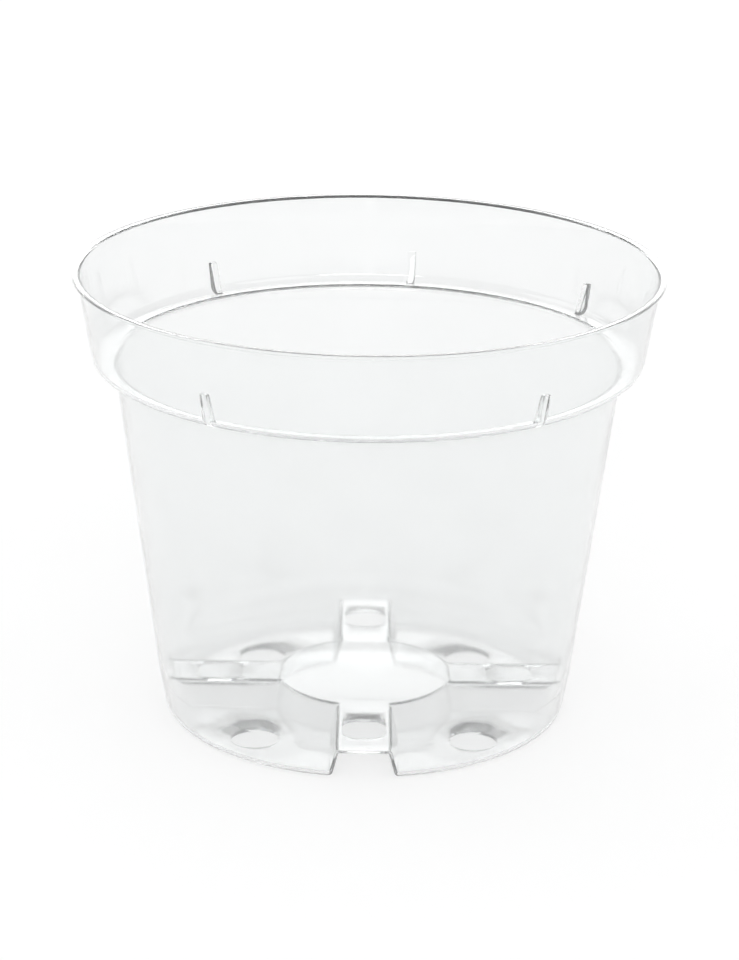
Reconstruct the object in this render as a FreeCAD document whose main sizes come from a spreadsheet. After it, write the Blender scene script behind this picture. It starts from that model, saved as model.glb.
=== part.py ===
import FreeCAD, Part
import os
import Sketcher

# Clear orchid pot with a drained base, injection-moulded in one shot of thin polypropylene.
# Origin: centre of the foot plane. +Z is up and -Y is the front of the pot.
doc = FreeCAD.newDocument("OrchidPot")
sheet = doc.addObject("Spreadsheet::Sheet", "Sizes")

# Driving dimensions in millimetres
driving = [
    ("rim_diameter", 140.0, "over the lip"),
    ("pot_height", 110.0, "feet to the top of the lip"),
    ("wall_thickness", 0.8, "everywhere but the lip"),
    ("lip_overhang", 1.1, "how far the lip stands out of the collar"),
    ("lip_thickness", 0.9, "height of the lip"),
    ("lip_rounding", 0.35, "on the lip's outer edges"),
    ("collar_depth", 22.0, "top of the lip to the underside of the ledge"),
    ("collar_taper", 3.5, "how far the collar draws in from the lip to the ledge"),
    ("collar_corner_radius", 3.0, "outside rounding under the collar"),
    ("collar_corner_height", 5.0, "height of the collar that belongs to the ledge"),
    ("ledge_edge_radius", 1.5, "rounding where the ledge turns down into the wall"),
    ("ledge_skirt_height", 4.0, "length of the wall that belongs to the ledge"),
    ("ledge_width", 5.0, "from the collar's foot in to the wall"),
    ("wall_taper", 10.2, "how far the wall draws in from the ledge to the mould line"),
    ("mould_line_rise", 2.0, "from the channel roofs up to the line between wall and base"),
    ("base_taper", 1.6, "how far the base draws in from the mould line to the foot plane"),
    ("base_corner_radius", 3.0, "outside rounding at the foot"),
    ("foot_plate_margin", 3.6, "from the base's foot in to the flat floors"),
    ("foot_hole_diameter", 11.5, "round drain hole in each foot"),
    ("foot_hole_margin", 2.55, "from the edge of the flat floor in to the hole"),
    ("channel_height", 6.8, "clear height under the base"),
    ("channel_top_width", 11.6, "clear width under the roof"),
    ("channel_flare", 1.6, "how far each side of a channel spreads down to the foot plane"),
    ("centre_margin", 8.2, "from the slots in to the top edge of the centre plate"),
    ("slot_side_margin", 0.6, "from each side of the channel in to the slot"),
    ("slot_length", 11.4, "along the channel"),
    ("slot_corner_radius", 3.4, "in plan"),
    ("slot_margin", 7.5, "from the base's foot in to the slot"),
    ("rib_height", 7.5, "stacking rib, above the ledge"),
    ("rib_width", 2.0, "stacking rib, along the collar"),
    ("rib_foot_depth", 2.4, "how far the rib stands out at the ledge"),
    ("rib_top_depth", 1.1, "how far the rib stands out at its top"),
]
for row, (alias, value, note) in enumerate(driving, 1):
    sheet.set(f"A{row}", alias)
    sheet.set(f"B{row}", str(value))
    sheet.set(f"C{row}", note)
    sheet.setAlias(f"B{row}", alias)

# Radii and heights that follow from them
followed = [
    ("lip_radius", "rim_diameter / 2"),
    ("lip_under", "pot_height - lip_thickness"),
    ("collar_top_radius", "lip_radius - lip_overhang"),
    ("collar_top_inside", "collar_top_radius - wall_thickness"),
    ("ledge_under", "pot_height - collar_depth"),
    ("ledge_top", "ledge_under + wall_thickness"),
    ("collar_bottom_radius", "collar_top_radius - collar_taper"),
    ("collar_slope", "(collar_top_radius - collar_bottom_radius) / (lip_under - ledge_under)"),
    ("collar_split", "ledge_under + collar_corner_height"),
    ("collar_split_radius", "collar_bottom_radius + collar_slope * collar_corner_height"),
    ("collar_split_inside", "collar_split_radius - wall_thickness"),
    ("collar_foot_inside", "collar_bottom_radius - wall_thickness + collar_slope * wall_thickness"),
    ("collar_inside_radius", "collar_corner_radius - wall_thickness"),
    ("roof_top", "channel_height + wall_thickness"),
    ("mould_line_height", "roof_top + mould_line_rise"),
    ("wall_top_radius", "collar_bottom_radius - ledge_width"),
    ("wall_bottom_radius", "wall_top_radius - wall_taper"),
    ("wall_slope", "(wall_top_radius - wall_bottom_radius) / (ledge_under - mould_line_height)"),
    ("skirt_foot", "ledge_under - ledge_skirt_height"),
    ("skirt_radius", "wall_top_radius - wall_slope * ledge_skirt_height"),
    ("skirt_inside", "skirt_radius - wall_thickness"),
    ("ledge_edge_inside", "wall_top_radius - wall_thickness + wall_slope * wall_thickness"),
    ("ledge_under_radius", "ledge_edge_radius - wall_thickness"),
    ("wall_bottom_inside", "wall_bottom_radius - wall_thickness"),
    ("base_radius", "wall_bottom_radius - base_taper"),
    ("base_slope", "(wall_bottom_radius - base_radius) / mould_line_height"),
    ("base_inside", "base_radius - wall_thickness + base_slope * wall_thickness"),
    ("base_inside_radius", "base_corner_radius - wall_thickness"),
    ("plate_radius", "base_radius - foot_plate_margin"),
    ("hole_reach", "plate_radius - foot_hole_margin - foot_hole_diameter / 2"),
    ("slot_reach", "base_radius - slot_margin - slot_length"),
    ("slot_width", "channel_top_width - 2 * slot_side_margin"),
    ("channel_draft", "channel_flare / channel_height"),
    ("channel_top", "channel_top_width / 2"),
    ("channel_foot", "channel_top + channel_flare"),
    ("roof_foot", "channel_foot + wall_thickness"),
    ("roof_shoulder", "roof_foot - channel_draft * roof_top"),
    ("centre_radius", "slot_reach - centre_margin"),
    ("centre_foot", "centre_radius + channel_draft * roof_top"),
    ("centre_clear_foot", "centre_foot - wall_thickness"),
    ("centre_clear_top", "centre_clear_foot - channel_draft * channel_height"),
    ("rib_foot_face", "collar_foot_inside - rib_foot_depth"),
    ("rib_top", "ledge_top + rib_height"),
    ("rib_top_face", "collar_foot_inside + collar_slope * rib_height - rib_top_depth"),
]
for row, (alias, formula) in enumerate(followed, len(driving) + 2):
    sheet.set(f"A{row}", alias)
    sheet.set(f"B{row}", "=" + formula)
    sheet.setAlias(f"B{row}", alias)
doc.recompute()

# Places of the stacking ribs round the collar, in degrees from +X, as the photograph shows them
rib_angles = [34.5, 80.5, 127.0, 236.5, 307.0]
quarter_turn = 90.0
match_share = 0.01
upright_share = 0.5
up = FreeCAD.Vector(0, 0, 1)
nodes = []


def size(alias):
    return float(sheet.get(alias))


def bind(item, **formulas):
    for prop, formula in formulas.items():
        item.setExpression(prop, formula)


def origin_plane(body, role):
    return next(f for f in body.Origin.OriginFeatures if f.Role == role)


# A turned solid: a closed outline of (radius, height) corners, revolved about the pot's axis
def turned(name, corners):
    body = doc.addObject("PartDesign::Body", name)
    sketch = body.newObject("Sketcher::SketchObject", name + "_outline")
    sketch.AttachmentSupport = (origin_plane(body, "XZ_Plane"), [""])
    sketch.MapMode = "FlatFace"
    points = [FreeCAD.Vector(size(r) if r else 0, size(z) if z else 0, 0) for r, z in corners]
    for i, start in enumerate(points):
        sketch.addGeometry(Part.LineSegment(start, points[(i + 1) % len(points)]))
    for i, (radius, height) in enumerate(corners):
        sketch.addConstraint(Sketcher.Constraint("Coincident", i - 1 if i else len(corners) - 1, 2, i, 1))
        for kind, alias, place in (("DistanceX", radius, points[i].x), ("DistanceY", height, points[i].y)):
            if alias:
                number = sketch.addConstraint(Sketcher.Constraint(kind, -1, 1, i, 1, place))
                sketch.setExpression(f"Constraints[{number}]", f"Sizes.{alias}")
            else:
                axis = -2 if kind == "DistanceX" else -1
                sketch.addConstraint(Sketcher.Constraint("PointOnObject", i, 1, axis))
    turn = body.newObject("PartDesign::Revolution", name + "_turn")
    turn.Profile = sketch
    turn.ReferenceAxis = (sketch, ["V_Axis"])
    turn.Angle = 4 * quarter_turn
    body.Tip = turn
    doc.recompute()
    return body


# Rounds the circular edge of a turned solid that lies at one radius and height
def rounded(body, radius, height, rounding):
    base = body.Tip
    for number, edge in enumerate(base.Shape.Edges, 1):
        curve = edge.Curve
        if isinstance(curve, Part.Circle):
            level = size(height) if height else 0
            miss = abs(curve.Radius - size(radius)) + abs(curve.Center.z - level)
            if miss < size("wall_thickness") * match_share:
                fillet = body.newObject("PartDesign::Fillet", body.Name + "_" + rounding)
                fillet.Base = (base, [f"Edge{number}"])
                bind(fillet, Radius=f"Sizes.{rounding}")
                body.Tip = fillet
                doc.recompute()
                return
    raise RuntimeError(f"{body.Name} has no edge at {radius}, {height}")


def combined(kind, name, first, second):
    item = doc.addObject("Part::" + kind, name)
    item.Base = first
    item.Tool = second
    return item


def joined(name, items):
    item = doc.addObject("Part::MultiFuse", name)
    item.Shapes = items
    return item


# A straight bar with sloping sides that runs outwards along +Y, turned about the pot's axis
def bar(name, foot, shoulder, top, reach, turn):
    item = doc.addObject("Part::Wedge", name)
    bind(item, Xmin=f"-Sizes.{foot}", Xmax=f"Sizes.{foot}", X2min=f"-Sizes.{shoulder}")
    bind(item, X2max=f"Sizes.{shoulder}", Ymax=f"Sizes.{top}")
    bind(item, Zmax=f"Sizes.{reach}", Z2max=f"Sizes.{reach}")
    item.Ymin = 0
    item.Zmin = 0
    item.Z2min = 0
    stand = FreeCAD.Rotation(FreeCAD.Vector(1, 0, 0), quarter_turn)
    half = FreeCAD.Rotation(up, 2 * quarter_turn + turn)
    item.Placement = FreeCAD.Placement(FreeCAD.Vector(0, 0, 0), half.multiply(stand))
    return item


def keep(item, label):
    item.Label = label
    nodes.append(item)
    return item


# Rim lip: a small square bead that stiffens the mouth
lip = turned("rim_lip", [
    ("collar_top_inside", "lip_under"),
    ("lip_radius", "lip_under"),
    ("lip_radius", "pot_height"),
    ("collar_top_inside", "pot_height"),
])
rounded(lip, "lip_radius", "lip_under", "lip_rounding")
rounded(lip, "lip_radius", "pot_height", "lip_rounding")
keep(lip, "rim_lip")

# Collar wall: the flared band under the lip
collar = turned("collar_wall", [
    ("collar_split_inside", "collar_split"),
    ("collar_split_radius", "collar_split"),
    ("collar_top_radius", "lip_under"),
    ("collar_top_inside", "lip_under"),
])
keep(collar, "collar_wall")

# Collar ledge: the rounded step that carries the ribs and turns down into the wall
ledge = turned("collar_ledge", [
    ("collar_split_radius", "collar_split"),
    ("collar_split_inside", "collar_split"),
    ("collar_foot_inside", "ledge_top"),
    ("ledge_edge_inside", "ledge_top"),
    ("skirt_inside", "skirt_foot"),
    ("skirt_radius", "skirt_foot"),
    ("wall_top_radius", "ledge_under"),
    ("collar_bottom_radius", "ledge_under"),
])
rounded(ledge, "collar_bottom_radius", "ledge_under", "collar_corner_radius")
rounded(ledge, "collar_foot_inside", "ledge_top", "collar_inside_radius")
rounded(ledge, "ledge_edge_inside", "ledge_top", "ledge_edge_radius")
rounded(ledge, "wall_top_radius", "ledge_under", "ledge_under_radius")
keep(ledge, "collar_ledge")

# Side wall: the plain tapered body of the pot
side = turned("side_wall", [
    ("wall_bottom_inside", "mould_line_height"),
    ("wall_bottom_radius", "mould_line_height"),
    ("skirt_radius", "skirt_foot"),
    ("skirt_inside", "skirt_foot"),
])
keep(side, "side_wall")

# Clear space of the channels and of the raised centre, and the same forms a wall thicker
arms = {}
clear_parts = []
full_parts = []
for turn, place in enumerate(("back", "left", "front", "right")):
    angle = turn * quarter_turn
    clear = bar(f"clear_{place}", "channel_foot", "channel_top", "channel_height", "lip_radius", angle)
    full = bar(f"full_{place}", "roof_foot", "roof_shoulder", "roof_top", "lip_radius", angle)
    arms[place] = (full, angle)
    clear_parts.append(clear)
    full_parts.append(full)
clear_centre = doc.addObject("Part::Cone", "clear_centre")
bind(clear_centre, Radius1="Sizes.centre_clear_foot", Radius2="Sizes.centre_clear_top")
bind(clear_centre, Height="Sizes.channel_height")
full_centre = doc.addObject("Part::Cone", "full_centre")
bind(full_centre, Radius1="Sizes.centre_foot", Radius2="Sizes.centre_radius", Height="Sizes.roof_top")
clear_arms = joined("clear_arms", clear_parts)
clear_space = joined("clear_space", [clear_arms, clear_centre])
full_form = joined("full_form", full_parts + [full_centre])

# Base corner: the ring from the mould line down to the feet, open at the four channel mouths
base_ring = turned("base_ring", [
    ("wall_bottom_inside", "mould_line_height"),
    ("base_inside", "wall_thickness"),
    ("plate_radius", "wall_thickness"),
    ("plate_radius", None),
    ("base_radius", None),
    ("wall_bottom_radius", "mould_line_height"),
])
rounded(base_ring, "base_inside", "wall_thickness", "base_inside_radius")
rounded(base_ring, "base_radius", None, "base_corner_radius")
base_corner = combined("Cut", "base_corner", base_ring, clear_space)
keep(base_corner, "base_corner")

# Inside of the base, which the raised forms and the foot floors fill
base_room = turned("base_room", [
    (None, "wall_thickness"),
    ("base_inside", "wall_thickness"),
    ("wall_bottom_inside", "mould_line_height"),
    (None, "mould_line_height"),
])
rounded(base_room, "base_inside", "wall_thickness", "base_inside_radius")
floor_plate = doc.addObject("Part::Cylinder", "floor_plate")
bind(floor_plate, Radius="Sizes.plate_radius", Height="Sizes.wall_thickness")
base_space = joined("base_space", [base_room, floor_plate])

# Centre plate: the raised round floor in the middle, with its skirt down between the channels
centre = combined("Cut", "centre_plate", full_centre, clear_space)
keep(centre, "centre_plate")

# Channels: a roof on two sloping sides from the centre to the wall, with a drain slot in each roof
for place, (full, angle) in arms.items():
    shell = combined("Cut", f"shell_{place}", full, clear_space)
    inside = combined("Common", f"inside_{place}", shell, base_space)
    outside = combined("Cut", f"outside_{place}", inside, full_centre)
    block = doc.addObject("Part::Box", f"slot_block_{place}")
    bind(block, Length="Sizes.slot_width", Width="Sizes.slot_length", Height="Sizes.mould_line_height")
    slot = doc.addObject("Part::Fillet", f"slot_{place}")
    slot.Base = block
    doc.recompute()
    corners = [n for n, e in enumerate(block.Shape.Edges, 1) if e.tangentAt(0).dot(up) ** 2 > upright_share]
    slot.Edges = [(n, size("slot_corner_radius"), size("slot_corner_radius")) for n in corners]
    near_corner = FreeCAD.Vector(-size("slot_width") / 2, size("slot_reach"), 0)
    spin = FreeCAD.Rotation(up, angle)
    slot.Placement = FreeCAD.Placement(spin.multVec(near_corner), spin)
    channel = combined("Cut", f"channel_{place}", outside, slot)
    keep(channel, f"channel_{place}")

# Feet: four flat floors between the channels, each with a round drain hole
floors = combined("Cut", "foot_floors", floor_plate, full_form)
for turn, place in enumerate(("back_right", "back_left", "front_left", "front_right")):
    quarter = doc.addObject("Part::Box", f"quarter_{place}")
    bind(quarter, Length="Sizes.plate_radius", Width="Sizes.plate_radius", Height="Sizes.wall_thickness")
    spin = FreeCAD.Rotation(up, turn * quarter_turn)
    quarter.Placement = FreeCAD.Placement(FreeCAD.Vector(0, 0, 0), spin)
    sector = combined("Common", f"sector_{place}", floors, quarter)
    hole = doc.addObject("Part::Cylinder", f"hole_{place}")
    bind(hole, Radius="Sizes.foot_hole_diameter / 2", Height="Sizes.wall_thickness")
    reach = FreeCAD.Vector(size("hole_reach"), 0, 0)
    diagonal = FreeCAD.Rotation(up, turn * quarter_turn + quarter_turn / 2)
    hole.Placement = FreeCAD.Placement(diagonal.multVec(reach), diagonal)
    foot = combined("Cut", f"foot_{place}", sector, hole)
    keep(foot, f"foot_{place}")

# Stacking ribs: short upright ribs on the ledge, against the collar, that stop nested pots jamming
collar_room = turned("collar_room", [
    (None, "ledge_top"),
    ("collar_foot_inside", "ledge_top"),
    ("collar_top_inside", "lip_under"),
    (None, "lip_under"),
])
rounded(collar_room, "collar_foot_inside", "ledge_top", "collar_inside_radius")
for number, angle in enumerate(rib_angles, 1):
    blank = doc.addObject("Part::Wedge", f"rib_blank_{number}")
    bind(blank, Xmin="Sizes.rib_foot_face", Xmax="Sizes.lip_radius", X2min="Sizes.rib_top_face")
    bind(blank, X2max="Sizes.lip_radius", Ymin="Sizes.ledge_top", Ymax="Sizes.rib_top")
    for side_bound, sign in (("Zmin", "-"), ("Z2min", "-"), ("Zmax", ""), ("Z2max", "")):
        bind(blank, **{side_bound: f"{sign}Sizes.rib_width / 2"})
    stand = FreeCAD.Rotation(FreeCAD.Vector(1, 0, 0), quarter_turn)
    round_to = FreeCAD.Rotation(up, angle)
    blank.Placement = FreeCAD.Placement(FreeCAD.Vector(0, 0, 0), round_to.multiply(stand))
    rib = combined("Common", f"stacking_rib_{number}", blank, collar_room)
    keep(rib, f"stacking_rib_{number}")

doc.recompute()
for item in doc.Objects:
    if "Invalid" in item.State or "Error" in item.State:
        raise RuntimeError(f"{item.Name} failed: {item.State}")
os.makedirs("parts", exist_ok=True)
for item in nodes:
    shape = item.Shape
    if shape.isNull() or not shape.isValid() or not shape.Solids:
        raise RuntimeError(f"{item.Label} has no sound solid")
    shape.exportStep(f"parts/{item.Label}.step")
    print(f"{item.Label}: {len(shape.Solids)} solid, {shape.Volume:.1f} mm3, {shape.BoundBox}")
print(f"{len(nodes)} nodes, {sum(i.Shape.Volume for i in nodes):.1f} mm3 of plastic")
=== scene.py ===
import math

import bmesh
import bpy
import numpy as np
from mathutils import Matrix, Vector
from mathutils.geometry import delaunay_2d_cdt


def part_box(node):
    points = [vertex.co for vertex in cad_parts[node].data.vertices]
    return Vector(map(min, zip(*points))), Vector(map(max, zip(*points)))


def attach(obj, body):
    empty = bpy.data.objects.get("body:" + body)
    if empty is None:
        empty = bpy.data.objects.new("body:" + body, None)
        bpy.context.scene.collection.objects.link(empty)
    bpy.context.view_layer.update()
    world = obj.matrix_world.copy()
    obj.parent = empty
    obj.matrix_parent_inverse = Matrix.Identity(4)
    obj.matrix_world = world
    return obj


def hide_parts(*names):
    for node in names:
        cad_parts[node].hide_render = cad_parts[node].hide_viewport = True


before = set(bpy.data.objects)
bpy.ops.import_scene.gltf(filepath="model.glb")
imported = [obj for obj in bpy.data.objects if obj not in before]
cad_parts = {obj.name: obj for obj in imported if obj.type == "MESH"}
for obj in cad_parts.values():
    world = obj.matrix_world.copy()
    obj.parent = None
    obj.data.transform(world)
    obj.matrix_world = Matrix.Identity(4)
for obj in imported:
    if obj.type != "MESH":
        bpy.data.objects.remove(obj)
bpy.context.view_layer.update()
scene = bpy.context.scene

# Shell of the pot: one thin skin of clear polypropylene, injection-moulded in a single shot, from the
# folded lip down the flared collar, over the ledge and down the tapered wall to the four feet.
# The skin is laid out as its middle surface and then given its thickness, so it has no inner seams.
mm = 0.001
lip_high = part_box("rim_lip")[1]
mould_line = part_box("base_corner")[1].z / mm
roof_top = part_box("channel_front")[1].z / mm
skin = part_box("foot_front_left")[1].z / mm
pot_height = lip_high.z / mm
rim_radius = lip_high.x / mm

lip_overhang = 1.1
lip_fold = 0.5
collar_depth = 22.0
collar_taper = 3.5
collar_corner = 2.6
ledge_width = 5.0
ledge_edge = 1.1
wall_taper = 10.2
base_taper = 1.6
base_corner = 2.6
roof_corner = 1.0
mould_line_step = 0.1
plate_margin = 3.6
longest_row = 5.0
arc_steps = 8

lip_level = pot_height - skin / 2
collar_top = rim_radius - lip_overhang - skin / 2
collar_foot = collar_top - collar_taper
ledge_level = pot_height - collar_depth + skin / 2
wall_top = collar_foot - ledge_width
wall_foot = wall_top - wall_taper
base_foot = wall_foot - base_taper
floor_level = skin / 2
roof_level = roof_top - skin / 2
plate_radius = base_foot + skin / 2 - plate_margin


# A line through corners in the (radius, height) plane, with an arc at each inner corner
def rounded_path(corners, radii, steps=arc_steps):
    path = [Vector(corners[0])]
    for before, corner, after, radius in zip(corners, corners[1:], corners[2:], radii):
        back = (Vector(before) - Vector(corner)).normalized()
        onward = (Vector(after) - Vector(corner)).normalized()
        half = back.angle(onward) / 2
        sweep = math.pi - 2 * half
        centre = Vector(corner) + (back + onward).normalized() * radius / math.sin(half)
        start = Vector(corner) + back * radius / math.tan(half) - centre
        stop = Vector(corner) + onward * radius / math.tan(half) - centre
        for step in range(steps + 1):
            ahead = math.sin(sweep * step / steps) / math.sin(sweep)
            behind = math.sin(sweep * (1 - step / steps)) / math.sin(sweep)
            path.append(centre + start * behind + stop * ahead)
    path.append(Vector(corners[-1]))
    return path


# The same line with points added, so that no step of it is longer than the given length
def spread(path, longest):
    dense = [path[0]]
    for start, stop in zip(path, path[1:]):
        parts = math.ceil((stop - start).length / longest)
        dense += [start.lerp(stop, part / parts) for part in range(1, parts + 1)]
    return dense


upper_path = spread(rounded_path([
    (wall_foot, mould_line + mould_line_step),
    (wall_top, ledge_level),
    (collar_foot, ledge_level),
    (collar_top, lip_level),
    (rim_radius, lip_level),
], [ledge_edge, collar_corner, lip_fold]), longest_row)


# Base of the pot: a raised round centre and four channels that run out from it through the foot, so
# that water drains away under the pot. Between them lie four flat feet, each with a round hole, and
# the roof of each channel has a drain slot. All of it is the same skin as the wall.
channel_half_width = 7.7
centre_foot_radius = 22.8
channel_flare = 1.6
base_rounding = 0.8
slot_width = 10.4
slot_length = 11.4
slot_corner = 3.4
slot_reach = 35.4
hole_radius = 5.75
hole_reach = 36.7
quarter = math.pi / 2
slope_steps = 4
side_steps = 6
centre_steps = 14
hole_steps = 48
gap_columns = 46
roof_columns = 8

# Height of the skin against the distance out from the foot of the raised form
slope = rounded_path([
    (-2 * channel_flare, roof_level),
    (-channel_flare, roof_level),
    (0, floor_level),
    (channel_flare, floor_level),
], [base_rounding, base_rounding], slope_steps)[1:-1]
slope_out = [point.x for point in slope]
slope_height = [point.y for point in slope]


def base_height(x, y):
    out = min(min(abs(x), abs(y)) - channel_half_width, math.hypot(x, y) - centre_foot_radius)
    return float(np.interp(out, slope_out, slope_height))


# Columns of the wall: parallel to a channel where they are near one, else straight out from the axis
channel_sides = [channel_half_width + out for out in slope_out]
roof_half = channel_sides[0]
offsets = [-side for side in reversed(channel_sides)]
offsets += [roof_half * (2 * step / roof_columns - 1) for step in range(1, roof_columns)]
offsets += channel_sides
edge_angle = math.asin(channel_sides[-1] / plate_radius)
columns = []
for turn in range(4):
    columns += [(turn * quarter, offset) for offset in offsets]
    for step in range(1, gap_columns):
        columns.append((turn * quarter + edge_angle + (quarter - 2 * edge_angle) * step / gap_columns, 0))


def column_point(column, radius, height):
    heading, offset = column
    angle = heading + math.asin(offset / min(max(radius, plate_radius), base_foot))
    return Vector((radius * math.cos(angle), radius * math.sin(angle), height))


shell = bmesh.new()
rings = []
for column in columns:
    start = column_point(column, plate_radius, 0)
    height = base_height(start.x, start.y)
    raised = (height - floor_level) / (roof_level - floor_level)
    corner = base_corner + (roof_corner - base_corner) * raised
    foot = base_foot + base_taper * height / mould_line - mould_line_step
    top = mould_line - mould_line_step
    lower_path = rounded_path([
        (plate_radius, height),
        (foot, height),
        (wall_foot - mould_line_step, top),
    ], [corner])
    rings.append([shell.verts.new(column_point(column, p.x, p.y)) for p in lower_path + upper_path])
for here, there in zip(rings, rings[1:] + rings[:1]):
    for low, high in zip(range(len(here) - 1), range(1, len(here))):
        shell.faces.new((here[low], there[low], there[high], here[high]))

# Plan of the base: outlines at each step of the slope, with the slots and holes left open
plan_points = []
plan_edges = []


def add_line(points, closed=False):
    first = len(plan_points)
    plan_points.extend(points)
    plan_edges.extend((first + i, first + i + 1) for i in range(len(points) - 1))
    if closed:
        plan_edges.append((len(plan_points) - 1, first))


def turned(points, angle):
    return [Matrix.Rotation(angle, 2) @ Vector(point) for point in points]


add_line([column_point(column, plate_radius, 0).xy for column in columns], closed=True)
for side, out in zip(channel_sides, slope_out):
    radius = centre_foot_radius + out
    near = math.sqrt(radius ** 2 - side ** 2)
    far = math.sqrt(plate_radius ** 2 - side ** 2)
    leave = math.asin(side / radius)
    inward = [(far + (near - far) * step / side_steps, side) for step in range(side_steps + 1)]
    around = []
    for step in range(1, centre_steps):
        angle = leave + (quarter - 2 * leave) * step / centre_steps
        around.append((radius * math.cos(angle), radius * math.sin(angle)))
    outward = [(y, x) for x, y in reversed(inward)]
    for turn in range(4):
        add_line(turned(inward + around + outward, turn * quarter))
slot_half = slot_length / 2 - slot_corner
slot_side = slot_width / 2 - slot_corner
slot_line = []
for turn, (x, y) in enumerate(((1, 1), (-1, 1), (-1, -1), (1, -1))):
    for step in range(arc_steps + 1):
        angle = (turn + step / arc_steps) * quarter
        reach = Vector((math.cos(angle), math.sin(angle))) * slot_corner
        slot_line.append(Vector((slot_reach + x * slot_half, y * slot_side)) + reach)
hole_line = []
for step in range(hole_steps):
    angle = step * 4 * quarter / hole_steps
    hole_line.append((hole_reach + hole_radius * math.cos(angle), hole_radius * math.sin(angle)))
for turn in range(4):
    add_line(turned(slot_line, turn * quarter), closed=True)
    add_line(turned(hole_line, (turn + 0.5) * quarter), closed=True)


def is_open(point):
    for turn in range(4):
        x, y = turned([point], -turn * quarter)[0]
        past_slot = max(abs(x - slot_reach) - slot_half, 0), max(abs(y) - slot_side, 0)
        x, y = turned([point], -(turn + 0.5) * quarter)[0]
        if math.hypot(*past_slot) < slot_corner or math.hypot(x - hole_reach, y) < hole_radius:
            return True
    return False


merge_distance = 0.001
plan_accuracy = merge_distance / 10
flat, _, triangles, _, _, _ = delaunay_2d_cdt(plan_points, plan_edges, [], 0, plan_accuracy)
base_verts = [shell.verts.new((p.x, p.y, base_height(p.x, p.y))) for p in flat]
for triangle in triangles:
    if not is_open(sum((flat[i] for i in triangle), Vector((0, 0))) / len(triangle)):
        shell.faces.new([base_verts[i] for i in triangle])
bmesh.ops.delete(shell, geom=[v for v in shell.verts if not v.link_faces], context="VERTS")
bmesh.ops.remove_doubles(shell, verts=shell.verts, dist=merge_distance)
bmesh.ops.recalc_face_normals(shell, faces=shell.faces)
bmesh.ops.scale(shell, vec=(mm, mm, mm), verts=shell.verts)
pot_mesh = bpy.data.meshes.new("pot_moulding")
shell.to_mesh(pot_mesh)
pot = bpy.data.objects.new("pot_moulding", pot_mesh)
scene.collection.objects.link(pot)

# The skin gets its thickness, and the cut edges of the lip, slots and holes are rounded
edge_break = 0.32
edge_break_steps = 4
cut_edge_angle = 60
thicken = pot.modifiers.new("skin", "SOLIDIFY")
thicken.thickness = skin * mm
thicken.offset = 0
thicken.use_even_offset = True
thicken.use_quality_normals = True
soften = pot.modifiers.new("broken_edges", "BEVEL")
soften.width = edge_break * mm
soften.segments = edge_break_steps
soften.limit_method = "ANGLE"
soften.angle_limit = math.radians(cut_edge_angle)

# Stacking ribs: five short upright ribs in the angle between ledge and collar, moulded with the pot.
# They hold nested pots apart. Each grows out of the skin, so it is joined to it without a face between.
rib_width = 2.0
rib_foot_depth = 2.4
rib_top_depth = 1.1
rib_rounding = 0.3
rib_rounding_steps = 3
ledge_face = collar_foot - skin / 2
lean = (collar_top - collar_foot) / (lip_level - ledge_level)
ribs = bmesh.new()
for number in range(1, 6):
    low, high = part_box(f"stacking_rib_{number}")
    middle = (low + high) / 2
    heading = math.atan2(middle.y, middle.x)
    rib_top = high.z / mm
    behind = [p for p in upper_path if ledge_level - merge_distance < p.y < rib_top]
    behind = [p for p in behind if p.x > ledge_face - rib_foot_depth]
    top_radius = collar_foot + lean * (rib_top - ledge_level)
    outline = [Vector((ledge_face - rib_foot_depth, ledge_level))] + behind
    outline += [Vector((top_radius, rib_top)), Vector((top_radius - skin / 2 - rib_top_depth, rib_top))]
    sides = []
    for side in (-rib_width / 2, rib_width / 2):
        sides.append([ribs.verts.new((p.x * mm, side * mm, p.y * mm)) for p in outline])
    ribs.faces.new(sides[0])
    ribs.faces.new(sides[1][::-1])
    count = len(outline)
    for i in range(count):
        after = (i + 1) % count
        ribs.faces.new((sides[0][i], sides[0][after], sides[1][after], sides[1][i]))
    front = [sides[0][-1], sides[1][-1], sides[0][-2], sides[1][-2], sides[0][0], sides[1][0]]
    shown = [e for e in ribs.edges if all(v in front for v in e.verts)]
    made = bmesh.ops.bevel(ribs, geom=shown, offset=rib_rounding * mm, segments=rib_rounding_steps,
                           profile=0.5, affect="EDGES")
    linked = set(made["verts"]) | {v for ring in sides for v in ring if v.is_valid}
    bmesh.ops.rotate(ribs, verts=list(linked), matrix=Matrix.Rotation(heading, 3, "Z"))
bmesh.ops.recalc_face_normals(ribs, faces=ribs.faces)
rib_mesh = bpy.data.meshes.new("ribs")
ribs.to_mesh(rib_mesh)
rib_blocks = bpy.data.objects.new("ribs", rib_mesh)
scene.collection.objects.link(rib_blocks)
join = pot.modifiers.new("ribs", "BOOLEAN")
join.operation = "UNION"
join.solver = "EXACT"
join.object = rib_blocks
bpy.context.view_layer.update()
finished = bpy.data.meshes.new_from_object(pot.evaluated_get(bpy.context.evaluated_depsgraph_get()))
pot.modifiers.clear()
pot.data = finished
finished.name = "pot_moulding"
bpy.data.objects.remove(rib_blocks)
crease_angle = 38
finished.shade_smooth()
finished.set_sharp_from_angle(angle=math.radians(crease_angle))


# Clear polypropylene, injection-moulded in a polished tool: colourless and glossy with a slight milky
# haze, faint flow marks where the melt ran up the wall, and edges that turn grey where light is bent away.
def linear(hex_code):
    parts = [int(hex_code[i:i + 2], 16) / 255 for i in (1, 3, 5)]
    return [p / 12.92 if p <= 0.04045 else ((p + 0.055) / 1.055) ** 2.4 for p in parts] + [1]


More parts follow.
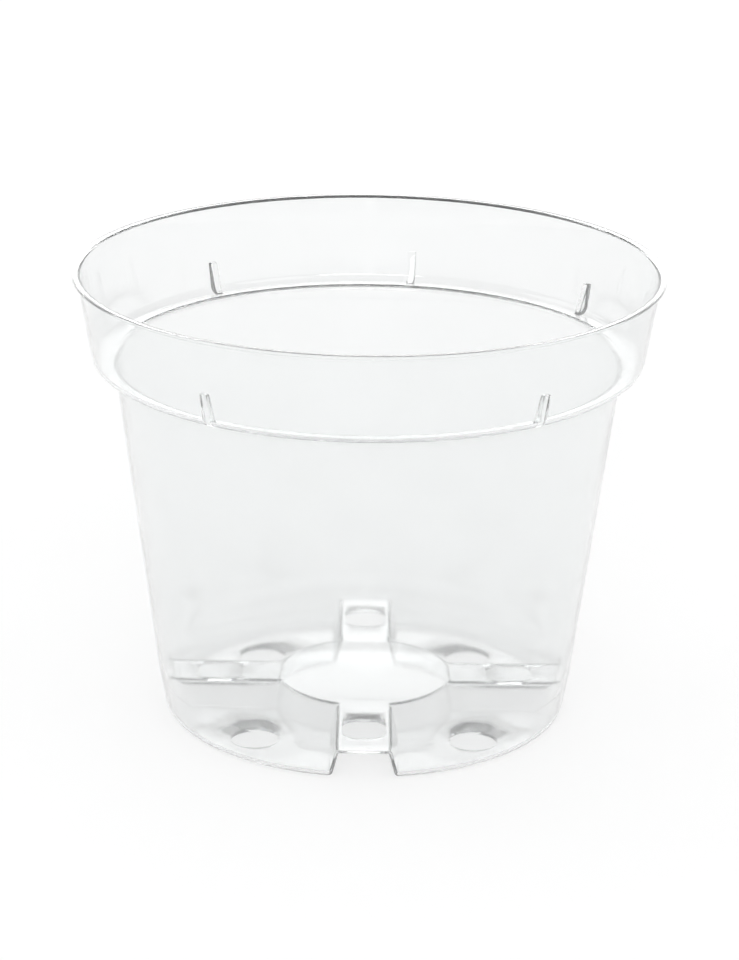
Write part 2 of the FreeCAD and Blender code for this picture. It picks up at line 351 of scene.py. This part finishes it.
def add(tree, kind, settings=None, inputs=None, links=None):
    node = tree.nodes.new(kind)
    for name, value in (settings or {}).items():
        setattr(node, name, value)
    for name, value in (inputs or {}).items():
        node.inputs[name].default_value = value
    for name, source in (links or {}).items():
        tree.links.new(source, node.inputs[name])
    return node


flow_mark_width = 14.0
flow_mark_depth = 0.1
flow_mark_strength = 0.25
haze_grain = 1.2
polypropylene_ior = 1.49


def clear_polypropylene(name, darkest, lightest, smoothest, roughest, clearness):
    plastic = bpy.data.materials.new(name)
    plastic.use_nodes = True
    tree = plastic.node_tree
    tree.nodes.clear()
    place = add(tree, "ShaderNodeTexCoord")
    flow = add(tree, "ShaderNodeTexNoise", inputs={"Scale": 1 / (flow_mark_width * mm), "Detail": 2},
               links={"Vector": place.outputs["Object"]})
    grain = add(tree, "ShaderNodeTexNoise", inputs={"Scale": 1 / (haze_grain * mm), "Detail": 3},
                links={"Vector": place.outputs["Object"]})
    tint = add(tree, "ShaderNodeMix", settings={"data_type": "RGBA"}, links={"Factor": flow.outputs["Fac"]})
    tint.inputs["A"].default_value = linear(darkest)
    tint.inputs["B"].default_value = linear(lightest)
    gloss = add(tree, "ShaderNodeMapRange", inputs={"To Min": smoothest, "To Max": roughest},
                links={"Value": grain.outputs["Fac"]})
    wave = add(tree, "ShaderNodeBump", links={"Height": flow.outputs["Fac"]},
               inputs={"Strength": flow_mark_strength, "Distance": flow_mark_depth * mm})
    surface = add(tree, "ShaderNodeBsdfPrincipled",
                  inputs={"Transmission Weight": clearness, "IOR": polypropylene_ior},
                  links={"Base Color": tint.outputs["Result"], "Roughness": gloss.outputs["Result"],
                         "Normal": wave.outputs["Normal"]})
    add(tree, "ShaderNodeOutputMaterial", links={"Surface": surface.outputs["BSDF"]})
    return plastic


pot.data.materials.clear()
pot.data.materials.append(clear_polypropylene(
    "polished_polypropylene", darkest="#F9FAFA", lightest="#FCFDFD",
    smoothest=0.03, roughest=0.08, clearness=0.94))

# The base is moulded against a finely textured face of the tool, which makes it softer and a little whiter
pot.data.materials.append(clear_polypropylene(
    "textured_polypropylene", darkest="#FCFDFD", lightest="#FEFEFE",
    smoothest=0.04, roughest=0.12, clearness=0.97))
textured_edge = 1.0
for face in pot.data.polygons:
    if face.center.xy.length < (base_foot - textured_edge) * mm:
        face.material_index = 1
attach(pot, "root")
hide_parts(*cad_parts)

# Floor: a sheet of matt white card that runs past the view on every side. The camera, and what shows
# through the plastic, see it as white with the soft shadow of the pot.
card_size = 6.0
shadow_gap = 0.05
card_share = 0.7
floor_mesh = bpy.data.meshes.new("floor")
corners = [(-card_size / 2, -card_size / 2), (card_size / 2, -card_size / 2)]
corners += [(card_size / 2, card_size / 2), (-card_size / 2, card_size / 2)]
floor_mesh.from_pydata([(x, y, -shadow_gap * mm) for x, y in corners], [], [(0, 1, 2, 3)])
floor = bpy.data.objects.new("floor", floor_mesh)
scene.collection.objects.link(floor)
card = bpy.data.materials.new("matt_white_card")
card.use_nodes = True
tree = card.node_tree
tree.nodes.clear()


def seen_directly(tree):
    path = add(tree, "ShaderNodeLightPath")
    mirrored = add(tree, "ShaderNodeMath", settings={"operation": "MAXIMUM"})
    tree.links.new(path.outputs["Is Camera Ray"], mirrored.inputs[0])
    tree.links.new(path.outputs["Is Glossy Ray"], mirrored.inputs[1])
    seen = add(tree, "ShaderNodeMath", settings={"operation": "MAXIMUM"})
    tree.links.new(mirrored.outputs[0], seen.inputs[0])
    tree.links.new(path.outputs["Is Transmission Ray"], seen.inputs[1])
    return seen.outputs[0]


paper = add(tree, "ShaderNodeBsdfDiffuse", inputs={"Color": linear("#F4F4F4")})
white = add(tree, "ShaderNodeEmission", inputs={"Color": linear("#FFFFFF")})
share = add(tree, "ShaderNodeMath", settings={"operation": "MULTIPLY"})
tree.links.new(seen_directly(tree), share.inputs[0])
share.inputs[1].default_value = card_share
mix = add(tree, "ShaderNodeMixShader", links={"Fac": share.outputs[0]})
tree.links.new(paper.outputs[0], mix.inputs[1])
tree.links.new(white.outputs[0], mix.inputs[2])
add(tree, "ShaderNodeOutputMaterial", links={"Surface": mix.outputs[0]})
floor.data.materials.append(card)

# Studio: a white room that darkens upwards, which gives the lip and the cut edges their grey lines. Soft
# boxes stand at both sides, behind and in front, and put white lights on the raised centre and the ledge.
world = bpy.data.worlds.new("studio")
scene.world = world
world.use_nodes = True
tree = world.node_tree
tree.nodes.clear()
room_fill = 0.9
flag_edge = 0.01
flag_middle = 0.06
flag_low = 0.05
flag_high = 0.25
ceiling_low = 0.2
ceiling_high = 0.34
ray = add(tree, "ShaderNodeTexCoord")
split = add(tree, "ShaderNodeSeparateXYZ", links={"Vector": ray.outputs["Generated"]})
beside = add(tree, "ShaderNodeMath", settings={"operation": "ABSOLUTE"})
tree.links.new(split.outputs["X"], beside.inputs[0])
across = add(tree, "ShaderNodeMapRange", inputs={"From Min": flag_edge, "From Max": flag_middle},
             links={"Value": beside.outputs[0]})
upward = add(tree, "ShaderNodeMapRange", inputs={"From Min": flag_low, "From Max": flag_high},
             links={"Value": split.outputs["Z"]})
sides = add(tree, "ShaderNodeMath", settings={"operation": "MULTIPLY"})
tree.links.new(across.outputs[0], sides.inputs[0])
tree.links.new(upward.outputs[0], sides.inputs[1])
ceiling = add(tree, "ShaderNodeMapRange", inputs={"From Min": ceiling_low, "From Max": ceiling_high},
              links={"Value": split.outputs["Z"]})
overhead = add(tree, "ShaderNodeMath", settings={"operation": "MAXIMUM"})
tree.links.new(sides.outputs[0], overhead.inputs[0])
tree.links.new(ceiling.outputs[0], overhead.inputs[1])
lit = add(tree, "ShaderNodeLightPath")
unlit = add(tree, "ShaderNodeMath", settings={"operation": "LESS_THAN"})
unlit.inputs[1].default_value = 0.5
tree.links.new(lit.outputs["Diffuse Depth"], unlit.inputs[0])
flag = add(tree, "ShaderNodeMath", settings={"operation": "MULTIPLY"})
tree.links.new(overhead.outputs[0], flag.inputs[0])
tree.links.new(unlit.outputs[0], flag.inputs[1])
dim = add(tree, "ShaderNodeValToRGB", links={"Fac": flag.outputs[0]})
dim.color_ramp.elements[0].color = linear("#FFFFFF")
dim.color_ramp.elements[1].color = linear("#0C0C0D")
room = add(tree, "ShaderNodeBackground", inputs={"Strength": 1.0}, links={"Color": dim.outputs["Color"]})
fill = add(tree, "ShaderNodeBackground", inputs={"Color": linear("#FFFFFF"), "Strength": room_fill})
either = add(tree, "ShaderNodeMixShader", links={"Fac": seen_directly(tree)})
tree.links.new(fill.outputs[0], either.inputs[1])
tree.links.new(room.outputs[0], either.inputs[2])
add(tree, "ShaderNodeOutputWorld", links={"Surface": either.outputs[0]})
pot_middle = Vector((0, 0, pot_height / 2 * mm))
for name, spot, width, depth, power in (
    ("soft_box_left", (-0.75, 0.35, 0.75), 0.6, 0.6, 1.0),
    ("soft_box_right", (0.65, -0.55, 0.9), 0.6, 0.6, 1.0),
    ("strip_box_behind", (0.0, 1.1, 0.5), 0.9, 0.35, 2.2),
    ("strip_box_front", (0.0, -1.15, 0.72), 1.0, 0.3, 5.0),
):
    lamp = bpy.data.lights.new(name, "AREA")
    lamp.shape = "RECTANGLE"
    lamp.size = width
    lamp.size_y = depth
    lamp.energy = power
    box = bpy.data.objects.new(name, lamp)
    box.location = spot
    box.rotation_euler = (pot_middle - Vector(spot)).to_track_quat("-Z", "Y").to_euler()
    scene.collection.objects.link(box)

# Camera: stands in front of the pot and looks down into it, as the photograph does. Its place is in
# metres, its turns are in radians and its lens is in millimetres.
camera_distance = 0.77293
camera_height = 0.3285
camera_pitch = 0.3376
camera_roll = 0.0123
camera_yaw = 0.0008
focal_length = 127.5
sensor_height = 36.0
forward = Vector((math.sin(camera_yaw) * math.cos(camera_pitch),
                  math.cos(camera_yaw) * math.cos(camera_pitch), -math.sin(camera_pitch)))
right = Vector((math.cos(camera_yaw), -math.sin(camera_yaw), 0))
above = right.cross(forward)
level_right = right * math.cos(camera_roll) + above * math.sin(camera_roll)
level_up = above * math.cos(camera_roll) - right * math.sin(camera_roll)
view = bpy.data.cameras.new("camera")
view.sensor_fit = "VERTICAL"
view.sensor_height = sensor_height
view.lens = focal_length
camera = bpy.data.objects.new("camera", view)
turn_matrix = Matrix((level_right, level_up, -forward)).transposed().to_4x4()
camera.matrix_world = Matrix.Translation((0, -camera_distance, camera_height)) @ turn_matrix
scene.collection.objects.link(camera)
scene.camera = camera
scene.view_settings.view_transform = "Standard"

# Light bounces many times inside the clear plastic of the lip and ledge before it leaves
light_bounces = 96
scene.cycles.max_bounces = light_bounces
scene.cycles.transmission_bounces = light_bounces
scene.cycles.glossy_bounces = light_bounces
scene.cycles.diffuse_bounces = light_bounces
